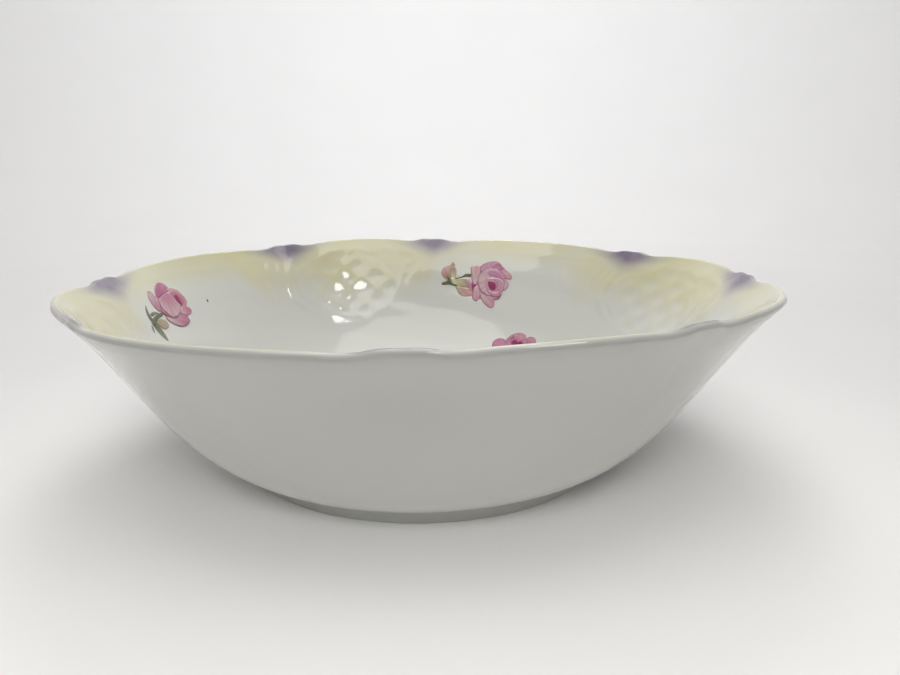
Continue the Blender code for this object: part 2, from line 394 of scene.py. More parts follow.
def tint_shares(across, depth, azimuth, cells):
    """Shares of the yellow-green band and of the lilac tips at points of the inside and the lip."""
    fades_over_lip = smoothstep(*OVER_LIP, depth)
    from_second = np.minimum(np.abs(across + RELIEF_ACROSS), np.abs(across - PLAIN_ACROSS))
    from_lobe = np.minimum(np.abs(across), from_second)

    in_relief = smoothstep(-PANEL_BLEND, PANEL_BLEND, np.where(across < 0.0, from_lobe, -from_lobe))
    over_feathers = smoothstep(*FEATHER_SPRAY_START, across) * smoothstep(*FEATHER_SPRAY_END, across)
    sprayed = np.maximum(in_relief, over_feathers)
    reach = BAND_REACH + BAND_DROP * sprayed + BAND_SWAY * sway(azimuth, 0.6, (3, 7, 11))
    fade_start = (BAND_FADE[0] + BAND_FADE[1] * sprayed) * reach
    olive = 1.0 - smoothstep(fade_start, reach, depth)
    patches = BAND_STRENGTH + BAND_PATCHES * sprayed + BAND_PATCHES * sway(azimuth, 2.3, (5, 9, 14))
    olive *= patches * (1.0 - CELL_PALENESS * cells)
    on_bars = smoothstep(*POOL_EDGE, shield_edge(across, depth)) * smoothstep(POOL_CELLS, 0.0, cells)
    olive = np.clip(olive + BAR_POOLING * on_bars, 0.0, 1.0)

    spread = TIP_SPREAD + TIP_SWAY * sway(azimuth, 4.1, (2, 5, 9))
    reach = TIP_REACH + TIP_DROP * np.exp(-((from_lobe / TIP_WIDTH) ** 2))
    lilac = np.exp(-((from_lobe / spread) ** 2)) * (1.0 - smoothstep(TIP_START, reach, depth))
    halo = HALO_STRENGTH * np.exp(-((from_lobe / HALO_SPREAD) ** 2))
    halo *= 1.0 - smoothstep(*HALO_DEPTHS, depth)
    olive = olive * fades_over_lip * (1.0 - BAND_UNDER_TIP * lilac)
    return olive, np.clip(lilac + halo, 0, 1) * fades_over_lip


def add_attribute(mesh, name, values):
    attribute = mesh.attributes.new(name, "FLOAT", "POINT")
    attribute.data.foreach_set("value", np.ascontiguousarray(values, np.float32).ravel())


def link(name, mesh, material):
    mesh.materials.append(material)
    mesh.shade_smooth()
    obj = bpy.data.objects.new(name, mesh)
    bpy.context.scene.collection.objects.link(obj)
    return obj


def make_body(material):
    rows = section_rows()
    azimuths = np.arange(COLUMNS) * 360.0 / COLUMNS
    across = local_across(azimuths)
    depth = rows[:, 2:3] / MM + 0.0 * azimuths
    fine = (rows[:, 2] >= 0.0) & (rows[:, 2] <= FINE_DEPTH)
    rise, cells = np.zeros((2, len(rows), COLUMNS))
    quarter = np.meshgrid(across[:COLUMNS_PER_QUARTER], rows[fine, 2] / MM)
    rise[fine] = np.tile(relief_rise(*quarter) * smoothstep(0.0, RELIEF_START, quarter[1]), 4)
    cells[fine] = np.tile(trellis_cells(*quarter), 4)
    uneven = UNEVENNESS * sway(azimuths + UNEVEN_LEAN * depth, 1.1, (4, 7, 12))
    uneven *= smoothstep(0.0, UNEVEN_FADE, depth)
    uneven *= smoothstep(WALL.length / MM, WALL.length / MM - UNEVEN_FADE, depth)
    inside = rows[:, 2] >= 0.0
    lift = np.where(inside[:, None], (rise + uneven) * MM, 0.0)
    radius, height = rows[:, 0:1] + 0.0 * lift, rows[:, 1:2] + 0.0 * lift
    on_wall = inside & (rows[:, 2] <= WALL.length)
    along = (WALL.length - rows[on_wall, 2:3]) + 0.0 * lift[on_wall]
    radius[on_wall], height[on_wall] = WALL.section(along, lift[on_wall])
    vertices = shaped(radius, height, azimuths).reshape(-1, 3)

    count = len(vertices)
    grid = np.arange(count).reshape(len(rows), COLUMNS)
    following = np.roll(grid, -1, axis=1)
    quads = np.stack([grid[:-1], following[:-1], following[1:], grid[1:]], axis=-1).reshape(-1, 4)
    below = [(count, b, a) for a, b in zip(grid[0], following[0])]
    above = [(count + 1, a, b) for a, b in zip(grid[-1], following[-1])]
    centres = [(0.0, 0.0, RECESS_HEIGHT), (0.0, 0.0, FLOOR_HEIGHT)]
    mesh = bpy.data.meshes.new("porcelain_bowl")
    mesh.from_pydata(vertices.tolist() + centres, [], quads.tolist() + below + above)

    olive, lilac = tint_shares(across + 0.0 * depth, depth, azimuths + 0.0 * depth, cells)
    on_sole = (vertices[:, 2] < SOLE_SHARE * FOOT_ROUNDING).astype(float)
    for name, values in (("olive", olive), ("lilac", lilac), ("bare", on_sole)):
        add_attribute(mesh, name, np.concatenate([values.ravel(), [0.0, 0.0]]))
    return link("porcelain_bowl", mesh, material)


# ---------------------------------------------------------------- the printed sprays

# Ceramic colours
PALE = (0.61, 0.40, 0.44)
BLUSH = (0.58, 0.30, 0.37)
ROSE = (0.51, 0.18, 0.30)
DEEP = (0.38, 0.09, 0.19)
HEART = (0.24, 0.015, 0.085)
SALMON = (0.62, 0.33, 0.34)
MAUVE = (0.46, 0.21, 0.36)
SHADOW = (0.30, 0.13, 0.18)
GREEN = (0.09, 0.11, 0.055)
STEM = (0.13, 0.13, 0.05)
LEAF = (0.23, 0.27, 0.17)
PEACH = (0.45, 0.36, 0.26)
STRAW = (0.62, 0.57, 0.37)
BROWN = (0.36, 0.26, 0.15)

# Each printed shape, from the lowest layer up: (outline, root, colour at the root, colour at the tip,
# colour of its edge). Points are millimetres to the right and up from the spray's middle, seen from inside.
SINGLE_ROSE = [
    ([(-5.5, 5.5), (0, 6.5), (5, 7), (8.5, 4), (9.8, 0), (8.5, -3.5), (5, -7), (0, -7.8), (-4.8, -5.3),
      (-7, -0.5)],
     (2, 0), MAUVE, BLUSH, BLUSH),
    ([(-13, 3.5), (-14.5, 1), (-15.5, -3), (-16.8, -3), (-17, -0.5), (-15.5, 2)],
     (-16, -3), GREEN, LEAF, GREEN),
    ([(-14.5, 0), (-11.5, 0.3), (-9, -1), (-12, -1), (-14, -1)], (-14, -1), GREEN, LEAF, LEAF),
    ([(-17, -3), (-14.5, -3.5), (-14, -7.5), (-15, -11.5), (-16.8, -9.5), (-17.5, -5)],
     (-16, -3.5), GREEN, LEAF, LEAF),
    ([(-18.6, -3.6), (-18.8, -5), (-20.3, -6.6), (-19.6, -4.6)], (-18.6, -3.6), GREEN, LEAF, LEAF),
    ([(-13, -3), (-10, -3.3), (-7.5, -5), (-8.5, -7), (-12, -7.2), (-14, -4.7)],
     (-13, -5), BROWN, PEACH, PEACH),
    ([(-17.2, -2.6), (-12.5, -1.4), (-7.5, -1.2), (-7.5, -2.5), (-12, -2.9), (-16.5, -4.2)],
     (-16, -3), GREEN, STEM, GREEN),
    ([(-6, 7.5), (-4, 7), (-4.2, 4.5), (-5.4, 2), (-6, -0.5), (-8, -0.5), (-8.8, 2), (-8.2, 5)],
     (-7, -0.5), ROSE, PALE, SHADOW),
    ([(-4, 5), (-3, 4.5), (-4.5, 1.5), (-6, -0.3), (-6.7, 1), (-5.6, 3.4)], (-6, 0), MAUVE, PALE, ROSE),
    ([(2.5, 9.2), (4.5, 9), (6, 7.3), (5.5, 5.2), (1, 4.4), (-2.5, 4), (-3, 5.2), (-0.5, 7.8)],
     (-1, 4.5), DEEP, ROSE, MAUVE),
    ([(5.5, 6), (8, 5.5), (10, 4), (11, 0.5), (10, -1.5), (7.5, -2), (6, 0), (5, 4)],
     (7, 1), DEEP, SALMON, PALE),
    ([(5.5, 4.5), (8, 4.4), (9, 2), (8.6, -0.6), (6.6, -1.9), (5.5, 0.5), (5, 3)],
     (7, 1), DEEP, ROSE, SALMON),
    ([(6.4, 3.2), (7.6, 2.6), (7.8, 0.6), (7, -1.4), (5.6, -0.8), (5.6, 1.4)],
     (6.8, 1), HEART, HEART, DEEP),
    ([(6.5, -2), (8.5, -2.3), (10.2, -4), (9.3, -5.3), (7, -5.8), (4, -4.8), (4, -3.4)],
     (5, -4), BLUSH, ROSE, PALE),
    ([(-6.5, -3.5), (-4, -4), (-1, -5.4), (2.5, -5), (5.5, -5.7), (5.5, -8), (2, -9.2), (-2, -8.5),
      (-5.5, -6)],
     (-5, -4), PALE, ROSE, SHADOW),
    ([(-6.6, -0.5), (-5, -2.2), (-3.4, -3.9), (0, -5), (0, -5.5), (-3.6, -4.7), (-6, -2.6)],
     (-6, -1), DEEP, DEEP, SHADOW),
    ([(-3.2, 3), (0.5, 4.2), (3.5, 4.5), (5, 3.2), (5.5, 0), (6, -1.8), (3.5, -3.7), (0, -4.8),
      (-3, -3.9), (-5, 0)],
     (1.5, 4), ROSE, PALE, BLUSH),
]
ROSE_WITH_BUDS = [
    ([(-2.5, 5.5), (1, 6.8), (5, 8), (9.5, 6.2), (13, 2.5), (13.2, -3), (11, -7), (8, -10.8), (4.5, -9),
      (0.5, -8.6), (-1.5, -5), (-2.6, 0)],
     (7, -2), MAUVE, BLUSH, BLUSH),
    ([(-17.5, 4), (-16.5, 6.2), (-13, 7.5), (-11, 6), (-10.5, 3.2), (-12, 0.8), (-15, 0.4), (-17, 2)],
     (-13, 0.5), BROWN, SALMON, PEACH),
    ([(-13.4, 7), (-12.4, 9), (-11.4, 6.8)], (-12.4, 6), BROWN, BROWN, PEACH),
    ([(-13.6, 5.6), (-12, 6.6), (-10.6, 4), (-10.8, 1.4), (-12.4, 0.8), (-13.4, 2.6)],
     (-12.5, 0.8), STRAW, BROWN, PEACH),
    ([(-13, 1), (-9.5, 0.9), (-5, 0.7), (-3.4, -1.5), (-2.2, -5), (-4.5, -7), (-8, -6.6), (-10.5, -3.5),
      (-12, -1)],
     (-12, 0), STRAW, BROWN, STRAW),
    ([(-10, -3.5), (-6, -3.6), (-3.2, -4), (-2.2, -7), (-5.5, -7.7), (-8.5, -6.7)],
     (-9, -4), PEACH, SALMON, BROWN),
    ([(-17, -1), (-15.4, -0.4), (-13.5, 0.4), (-13.2, -0.8), (-10, -2.2), (-10.2, -3), (-13.6, -2.1),
      (-17, -2.1)],
     (-14, -1), STEM, STEM, STEM),
    ([(-14.8, 1.6), (-14, 1.5), (-12.4, -1.2), (-13.4, -1.4)], (-14, 0), STEM, STEM, GREEN),
    ([(-10.6, 1.1), (-8, 1.7), (-6, 3), (-3.8, 3), (-3.8, 1.7), (-6.2, 1.6), (-8.5, 1), (-10.8, 0.5)],
     (-8, 1), STEM, STEM, GREEN),
    ([(-6, 0), (-4.5, 0.6), (-3.2, -1.5), (-2, -4), (-2, -5.8), (-3.8, -4), (-5, -1.8)],
     (-3, -3), ROSE, PALE, MAUVE),
    ([(0.5, 6.5), (2, 8), (5, 9.1), (7.8, 9), (10, 7), (13, 4.5), (15.3, 2.6), (15.3, 0.9), (12, 1.5),
      (7, 4), (1, 3.8)],
     (5, 4), MAUVE, SALMON, SHADOW),
    ([(8.2, 8.6), (10.2, 6.8), (10.8, 5), (8, 5.2), (5.5, 5.6), (6.8, 7.4)], (8, 5), ROSE, DEEP, ROSE),
    ([(-4, 6.2), (-2, 6.7), (0.2, 6.5), (0.6, 4), (0, 1), (-0.6, -2), (-2, -2), (-3.2, 0.4), (-3.8, 3.5)],
     (-1, -1), PALE, SALMON, SHADOW),
    ([(1.5, -6), (4, -7), (8, -7.3), (9.5, -9.5), (9.3, -12.3), (7, -12.6), (4, -10.6), (2.4, -8.4)],
     (3, -6.5), PALE, BLUSH, SHADOW),
    ([(8, -7.2), (11.7, -6.8), (11.5, -8.2), (9.6, -8.8)], (9, -7.5), MAUVE, SHADOW, MAUVE),
    ([(12.4, 0.5), (14.6, -0.8), (14.4, -3), (12.8, -4.3)], (13, -2), PALE, BLUSH, MAUVE),
    ([(-1.6, -2.4), (0.1, -2.4), (1, -4.5), (1.6, -7.5), (0.8, -9.6), (-0.8, -9.6), (-2, -8.3),
      (-2.1, -5.8)],
     (-0.5, -3), PALE, BLUSH, ROSE),
    ([(-3, -0.8), (-2, -1.6), (-0.4, -2), (-1.5, -3.6), (-2, -5.6), (-2.6, -3.5)],
     (-1.6, -2.4), HEART, DEEP, DEEP),
    ([(0, 2), (1.5, 4), (4, 5.5), (7, 5.6), (10, 4.5), (12.2, 2.3), (13, -1), (12.6, -4.2),
      (10.6, -6.8), (6.5, -7.2), (3, -5.8), (0.8, -3.4), (-0.1, -0.6)],
     (11, 2), MAUVE, PALE, SHADOW),
    ([(4, 4.3), (7, 5), (10, 3.6), (11.8, 1.4), (9.5, 0.9), (7, 1.9), (5, 2.4)],
     (11, 1.5), ROSE, MAUVE, BLUSH),
    ([(3.5, 0.5), (5.5, 1.2), (9, 1.1), (11.7, 0), (12.4, -2.7), (11.6, -5.4), (9, -6.5), (6, -5.9),
      (4.2, -3.3)],
     (7.5, -2.5), ROSE, BLUSH, PALE),
    ([(9.4, 0.6), (11.4, -0.4), (11.8, -3), (10.4, -4.6), (9.2, -2.4)], (9.5, -2), MAUVE, BLUSH, ROSE),
    ([(5, -0.4), (7, -0.4), (8.3, -1.1), (9.1, -3), (8.3, -4.6), (6.3, -4), (5, -2)],
     (7, -2), HEART, HEART, DEEP),
    ([(5.2, -4.4), (6.4, -5.2), (8.6, -5.2), (9.6, -3.6), (9.8, -5), (8.4, -6.2), (6, -6)],
     (7, -5), BLUSH, PALE, ROSE),
    ([(5.5, -5), (7.5, -5.4), (10, -5.1), (12, -4), (12.3, -6.4), (10.4, -7.4), (7.4, -7)],
     (9, -5), PALE, ROSE, BLUSH),
]
LOW_POSY = [
    ([(-8.5, 6), (-5, 8.2), (0, 11.5), (5, 10.5), (8, 8), (8.5, 2), (8, -4.5), (3, -6.5), (-2, -6.8),
      (-7, -4.5), (-8.5, 0)],
     (0, 2), MAUVE, BLUSH, BLUSH),
    ([(-9, 2), (-12.5, 0), (-14, -5.5), (-10.5, -6), (-7, -2)], (-8, 1), GREEN, LEAF, GREEN),
    ([(8, 2.5), (12, 0.5), (14, -5), (10, -5.5), (6.5, -2)], (8, 1), GREEN, LEAF, GREEN),
    ([(0.6, -7), (1.8, -11), (-0.4, -15.6), (-1.2, -15.4), (0.6, -11), (-0.6, -7)],
     (0, -8), STEM, GREEN, GREEN),
    ([(-1, -11), (-4, -11.5), (-7, -14.5), (-5.6, -16), (-2.4, -13.5)], (-2, -11.5), GREEN, LEAF, GREEN),
    ([(-9.5, 4.5), (-9.6, 7), (-8.4, 8.7), (-6.5, 9.4), (-4.6, 8.6), (-4, 5), (-5, 2.2), (-8, 1.6)],
     (-5, 5), ROSE, ROSE, SHADOW),
    ([(4.5, 10), (5.5, 11.6), (7.6, 11.5), (9.1, 9.8), (9, 7.4), (7.4, 5.8), (5, 6)],
     (5.5, 6.5), DEEP, BLUSH, SHADOW),
    ([(-8, 3), (-9.4, -1), (-7, -5.5), (-1.5, -8), (1.5, -3), (-2, 2.6)], (-2, 1), ROSE, PALE, MAUVE),
    ([(0, -2.5), (3.5, -8), (8.5, -5.8), (10, 1), (7.5, 4.8), (2.5, 4)], (2, 2), ROSE, PALE, MAUVE),
    ([(-4.2, 7), (-4, 9.2), (-1.8, 12), (1, 13), (3.4, 12.4), (4.8, 9.6), (5.2, 5.6), (3, 1.6),
      (-1, 0.8), (-3.8, 3.2)],
     (1, 7), DEEP, BLUSH, SHADOW),
    ([(-3.6, 7.4), (-2.8, 9.8), (-0.8, 11.4), (-1, 9.6), (-2, 7.6), (-2.4, 5)], (-2, 7), MAUVE, DEEP, ROSE),
    ([(0, 11), (1, 11.6), (2.6, 11), (2.7, 9.4), (1.5, 8.4), (0.4, 9.4)], (1.5, 8.6), ROSE, BLUSH, ROSE),
    ([(-1.6, 8), (0, 9.4), (1.2, 8.4), (2.6, 9), (3.7, 8), (3, 6.8), (1.2, 6.3), (-0.8, 6.8)],
     (1, 7.4), HEART, HEART, DEEP),
    ([(-3.4, 5.2), (0, 6.2), (4.6, 5.8), (5, 3.4), (2.2, -1.4), (-2.4, -1), (-4.4, 2.4)],
     (1, 5), BLUSH, PALE, ROSE),
]

# Each spray: the CAD node that it stands for, its middle's azimuth and distance up the wall, its shapes
SPRAYS = [
    ("rose_transfer_back_left", 167.0, 0.0665, SINGLE_ROSE),
    ("rose_transfer_back_right", 77.0, 0.0630, ROSE_WITH_BUDS),
    ("rose_transfer_front_right", 327.0, 0.0600, SINGLE_ROSE),
    ("rose_transfer_front_left", 257.0, 0.0630, ROSE_WITH_BUDS),
    ("rose_transfer_low_wall", 62.0, 0.0260, LOW_POSY),
]
PRINT_LIFT = 0.00003  # the lowest layer's height off the glaze
LAYER_STEP = 0.000012
PRINT_GRID = 0.45  # distance between a shape's inner points, in millimetres
EDGE_WIDTH = 0.35
EDGE_STRENGTH = 0.72
SHADE_FROM_TO = (0.05, 0.85)  # shares of a shape's length between which its colour changes
STREAKS = 19
STREAK_STRENGTH = 0.20
STREAKS_FROM_TO = (0.6, 2.5)  # millimetres from the root over which the streaks come up


def inside_outline(points, outline):
    """Which points lie inside a closed outline."""
    x, y = points[:, 0:1], points[:, 1:2]
    x0, y0 = outline.T
    x1, y1 = np.roll(outline, -1, axis=0).T
    spans = (y0 > y) != (y1 > y)
    height = np.where(y1 == y0, 1.0, y1 - y0)
    return (np.sum(spans & (x < (x1 - x0) * (y - y0) / height + x0), axis=1) % 2).astype(bool)


def filled_outline(outline):
    """Points and triangles that fill a smooth outline, with each point's distance from its edge."""
    low, high = outline.min(axis=0), outline.max(axis=0)
    steps = [np.arange(a, b, PRINT_GRID) for a, b in zip(low, high)]
    grid = np.stack(np.meshgrid(*steps), -1).reshape(-1, 2)
    grid = grid[inside_outline(grid, outline)]
    from_edge = np.linalg.norm(grid[:, None] - outline, axis=2).min(axis=1) if len(grid) else np.zeros(0)
    grid = grid[from_edge > 0.5 * PRINT_GRID]
    points = [Vector(p) for p in np.concatenate([outline, grid])]
    made = delaunay_2d_cdt(points, [], [list(range(len(outline)))], 1, 1e-5)
    flat = np.array([tuple(p) for p in made[0]])
    triangles = np.array([tuple(face) for face in made[2]])
    a, b, c = (flat[triangles[:, i]] for i in range(3))
    turned = (b[:, 0] - a[:, 0]) * (c[:, 1] - a[:, 1]) - (b[:, 1] - a[:, 1]) * (c[:, 0] - a[:, 0])
    triangles[turned < 0] = triangles[turned < 0][:, ::-1]
    return flat, triangles, np.linalg.norm(flat[:, None] - outline, axis=2).min(axis=1)


def closed_film(triangles, count):
    """Faces of a thin closed film: the front, the back and the rim between them."""
    edges = np.concatenate([triangles[:, [0, 1]], triangles[:, [1, 2]], triangles[:, [2, 0]]])
    known = {(a, b) for a, b in edges.tolist()}
    rim = [(a, b) for a, b in known if (b, a) not in known]
    sides = [(a, a + count, b + count, b) for a, b in sorted(rim)]
    return triangles.tolist() + (triangles[:, ::-1] + count).tolist() + sides


def shape_colours(flat, from_edge, root, colours):
    """A print colour for each point: from the root to the tip, with streaks, and darker at the edge."""
    at_root, at_tip, at_edge = (np.array(colour) for colour in colours)
    away = flat - np.array(root, float)
    distance = np.hypot(*away.T)
    share = smoothstep(*SHADE_FROM_TO, distance / max(distance.max(), 0.01))[:, None]
    colour = at_root * (1 - share) + at_tip * share
    angle = np.arctan2(away[:, 1], away[:, 0])
    streak = 0.5 + 0.5 * np.sin(STREAKS * angle + 2.0 * np.sin(5.0 * angle))
    colour *= (1.0 - STREAK_STRENGTH * streak * smoothstep(*STREAKS_FROM_TO, distance))[:, None]
    edge = EDGE_STRENGTH * np.exp(-((from_edge / EDGE_WIDTH) ** 2))[:, None]
    return colour * (1 - edge) + at_edge * edge


def make_spray(node, azimuth, along, shapes, material):
    """One printed spray as a stack of thin closed films, one for each petal, leaf and stem."""
    arm = WALL.section(along)[0]
    vertices, faces, colours = [], [], []
    for layer, (points, root, *shape_palette) in enumerate(shapes):
        outline = curve_through(points, 6, closed=True)
        flat, triangles, from_edge = filled_outline(outline)
        turned = azimuth - np.degrees(flat[:, 0] * MM / arm)
        lift = PRINT_LIFT + layer * LAYER_STEP
        start = len(vertices)
        for height in (lift + LAYER_STEP / 2, lift):
            vertices += WALL.point(along + flat[:, 1] * MM, turned, height).tolist()
        faces += [tuple(start + corner for corner in face) for face in closed_film(triangles, len(flat))]
        colours += 2 * shape_colours(flat, from_edge, root, shape_palette).tolist()
    mesh = bpy.data.meshes.new(node.replace("transfer", "print"))
    mesh.from_pydata(vertices, [], faces)
    attribute = mesh.color_attributes.new("print_colour", "FLOAT_COLOR", "POINT")
    rgba = np.concatenate([np.array(colours), np.ones((len(colours), 1))], axis=1)
    attribute.data.foreach_set("color", rgba.astype(np.float32).ravel())
    piece = link(mesh.name, mesh, material)
    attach(piece, "root")
    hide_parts(node)


# ---------------------------------------------------------------- specks in the glaze

SPECKS = [(154.6, 0.0193, 0.00042), (2.6, 0.0184, 0.00050)]  # azimuth, depth, radius
SPECK_POINTS = 14
SPECK_LENGTH = 1.3  # of its width
SPECK_FRONT = 0.00010
SPECK_RIM = 0.00001
SPECK_BACK = -0.00005


def make_specks(material):
    """Iron specks that rose through the glaze: tiny flat lenses."""
    builder = bmesh.new()
    turns = np.arange(SPECK_POINTS) * 2 * np.pi / SPECK_POINTS
    for azimuth, depth, radius in SPECKS:
        along = WALL.length - depth
        arm = WALL.section(along)[0]
        ragged = radius * (1.0 + 0.25 * np.sin(2 * turns + azimuth) + 0.12 * np.sin(5 * turns))
        along_rim = along + SPECK_LENGTH * ragged * np.sin(turns)
        azimuth_rim = azimuth + np.degrees(ragged * np.cos(turns) / arm)
        front = builder.verts.new(WALL.point(along, azimuth, SPECK_FRONT))
        back = builder.verts.new(WALL.point(along, azimuth, SPECK_BACK))
        rim = [builder.verts.new(point) for point in WALL.point(along_rim, azimuth_rim, SPECK_RIM)]
        for a, b in zip(rim, rim[1:] + rim[:1]):
            builder.faces.new((a, front, b))
            builder.faces.new((b, back, a))
    bmesh.ops.recalc_face_normals(builder, faces=builder.faces)
    mesh = bpy.data.meshes.new("glaze_specks")
    builder.to_mesh(mesh)
    builder.free()
    return link("glaze_specks", mesh, material)


# ---------------------------------------------------------------- materials

# Pairs of colours that a material's noise moves between
GLAZE_WHITES = ((0.655, 0.655, 0.615), (0.69, 0.69, 0.645))
BAND_OLIVES = ((0.62, 0.60, 0.38), (0.70, 0.66, 0.45))
TIP_LILACS = ((0.195, 0.165, 0.225), (0.245, 0.205, 0.27))
PRINT_GRAINS = ((0.90, 0.88, 0.88), (1.12, 1.14, 1.12))
SPECK_BROWNS = ((0.06, 0.05, 0.04), (0.14, 0.11, 0.08))
SWEEP_GREYS = ((0.61, 0.60, 0.588), (0.635, 0.625, 0.613))
BARE_CLAY = (0.66, 0.62, 0.53)
BARE_ROUGHNESS = 0.75
GLAZE_IOR = 1.52
PRINT_IOR = 1.50


def new_material(name):
    material = bpy.data.materials.new(name)
    material.use_nodes = True
    return material, material.node_tree, material.node_tree.nodes["Principled BSDF"]


def noise(tree, scale, detail, roughness=0.5):
    coordinates = tree.nodes.new("ShaderNodeTexCoord")
    texture = tree.nodes.new("ShaderNodeTexNoise")
    texture.inputs["Scale"].default_value = scale
    texture.inputs["Detail"].default_value = detail
    texture.inputs["Roughness"].default_value = roughness
    tree.links.new(coordinates.outputs["Object"], texture.inputs["Vector"])
    return texture.outputs["Fac"]


def mapped(tree, value, low, high, from_low=0.3, from_high=0.7):
    node = tree.nodes.new("ShaderNodeMapRange")
    node.inputs["From Min"].default_value = from_low
    node.inputs["From Max"].default_value = from_high
    node.inputs["To Min"].default_value = low
    node.inputs["To Max"].default_value = high
    tree.links.new(value, node.inputs["Value"])
    return node.outputs["Result"]


def mixed(tree, share, first, second, blend="MIX"):
    """A colour mix; each argument is a socket or a constant."""
    node = tree.nodes.new("ShaderNodeMix")
    node.data_type = "RGBA"
    node.blend_type = blend
    sockets = (node.inputs[0], node.inputs[6], node.inputs[7])
    for socket, value in zip(sockets, (share, first, second)):
        if isinstance(value, bpy.types.NodeSocket):
            tree.links.new(value, socket)
        else:
            socket.default_value = (*value, 1.0) if isinstance(value, tuple) else value
    return node.outputs[2]


def product(tree, first, second):
    node = tree.nodes.new("ShaderNodeMath")
    node.operation = "MULTIPLY"
    tree.links.new(first, node.inputs[0])
    tree.links.new(second, node.inputs[1])
    return node.outputs[0]


def attribute_value(tree, name):
    node = tree.nodes.new("ShaderNodeAttribute")
    node.attribute_name = name
    return node.outputs["Fac"]


def bump(tree, height, strength, distance):
    node = tree.nodes.new("ShaderNodeBump")
    node.inputs["Strength"].default_value = strength
    node.inputs["Distance"].default_value = distance
    tree.links.new(height, node.inputs["Height"])
    return node.outputs["Normal"]


def glaze_material():
    """White porcelain under clear glaze, with the sprayed band and tips, and a bare sole."""
    material, tree, shader = new_material("porcelain_glaze")
    white = mixed(tree, noise(tree, scale=26.0, detail=3.0), *GLAZE_WHITES)
    spray = mapped(tree, noise(tree, scale=85.0, detail=5.0, roughness=0.6), low=0.80, high=1.10)
    olive = mixed(tree, noise(tree, scale=60.0, detail=3.0), *BAND_OLIVES)
    lilac = mixed(tree, noise(tree, scale=70.0, detail=4.0), *TIP_LILACS)
    banded = mixed(tree, product(tree, attribute_value(tree, "olive"), spray), white, olive)
    tipped = mixed(tree, product(tree, attribute_value(tree, "lilac"), spray), banded, lilac)
    bare = attribute_value(tree, "bare")
    coloured = mixed(tree, bare, tipped, BARE_CLAY)
    tree.links.new(coloured, shader.inputs["Base Color"])
    polish = mapped(tree, noise(tree, scale=120.0, detail=4.0), low=0.05, high=0.09)
    roughness = tree.nodes.new("ShaderNodeMath")
    roughness.operation = "MAXIMUM"
    tree.links.new(polish, roughness.inputs[0])
    bare_roughness = mapped(tree, bare, low=0.0, high=BARE_ROUGHNESS, from_low=0.0, from_high=1.0)
    tree.links.new(bare_roughness, roughness.inputs[1])
    tree.links.new(roughness.outputs[0], shader.inputs["Roughness"])
    shader.inputs["IOR"].default_value = GLAZE_IOR
    ripple = bump(tree, noise(tree, scale=55.0, detail=2.0), strength=0.25, distance=0.0006)
    tree.links.new(ripple, shader.inputs["Normal"])
    return material


def print_material():
    """Fired print colours: the shapes' own colours, with the fine grain of a transfer."""
    material, tree, shader = new_material("rose_print")
    colour = tree.nodes.new("ShaderNodeAttribute")
    colour.attribute_name = "print_colour"
    grain = mixed(tree, noise(tree, scale=2400.0, detail=2.0, roughness=0.7), *PRINT_GRAINS)
    toned = mixed(tree, 1.0, colour.outputs["Color"], grain, "MULTIPLY")
    tree.links.new(toned, shader.inputs["Base Color"])
    roughness = mapped(tree, noise(tree, scale=900.0, detail=3.0), low=0.12, high=0.24)
    tree.links.new(roughness, shader.inputs["Roughness"])
    shader.inputs["IOR"].default_value = PRINT_IOR
    return material


def speck_material():
    material, tree, shader = new_material("iron_speck")
    brown = mixed(tree, noise(tree, scale=3000.0, detail=2.0), *SPECK_BROWNS)
    tree.links.new(brown, shader.inputs["Base Color"])
    shader.inputs["Roughness"].default_value = 0.2
    return material


# ---------------------------------------------------------------- floor, lights and camera

SWEEP_NEAR = 0.28  # radius of the floor that throws light on the bowl from all sides
SWEEP_FLOOR = 0.80  # radius of the flat part
SWEEP_BEND = 0.60
SWEEP_HEIGHT = 1.6
SWEEP_FACET = 4.0  # degrees
# The sweep's parts: name, the angle where it starts, how far it turns, whether it throws light on the bowl
SWEEP_PARTS = [("sweep_back", 20.0, 140.0, True), ("sweep_front", 160.0, 220.0, False)]
CARD_AIM = Vector((-0.038, 0.087, 0.043))  # the trellis whose cells mirror the highlight card
CARD_DIRECTION = Vector((0.456, -0.502, 0.735))
CARD_DISTANCE = 1.10
CARD_WIDTH = 0.46
CARD_HEIGHT = 0.18
PANEL_SIZE = 0.8
OVERHEAD_SIZE = 1.3
FILL_SIZE = 0.3
FILL_SPREAD = math.radians(60)
BACKDROP_SIZE = 0.7
CAMERA_PLACE = (0.0111, -0.2525, 0.0987)
CAMERA_HEADING = math.radians(0.45)
CAMERA_PITCH = math.radians(13.14)
CAMERA_ROLL = math.radians(-0.50)
CAMERA_LENS = 29.6
SENSOR_WIDTH = 36.0


def make_sweep_part(name, start, turn, throws_light, outline, material):
    """A stretch of the round sweep; one that throws no light leaves that side of the bowl dim."""
    builder = bmesh.new()
    turned = Matrix.Rotation(math.radians(start), 3, "Z")
    points = [builder.verts.new(turned @ Vector((radius, 0.0, height))) for radius, height in outline]
    edges = [builder.edges.new(pair) for pair in zip(points, points[1:])]
    bmesh.ops.spin(
        builder,
        geom=points + edges,
        cent=(0, 0, 0),
        axis=(0, 0, 1),
        angle=math.radians(turn),
        steps=round(turn / SWEEP_FACET),
    )
    bmesh.ops.remove_doubles(builder, verts=builder.verts, dist=0.0001)
    mesh = bpy.data.meshes.new(name)
    builder.to_mesh(mesh)
    builder.free()
    part = link(name, mesh, material)
    part.visible_diffuse = throws_light
    return part


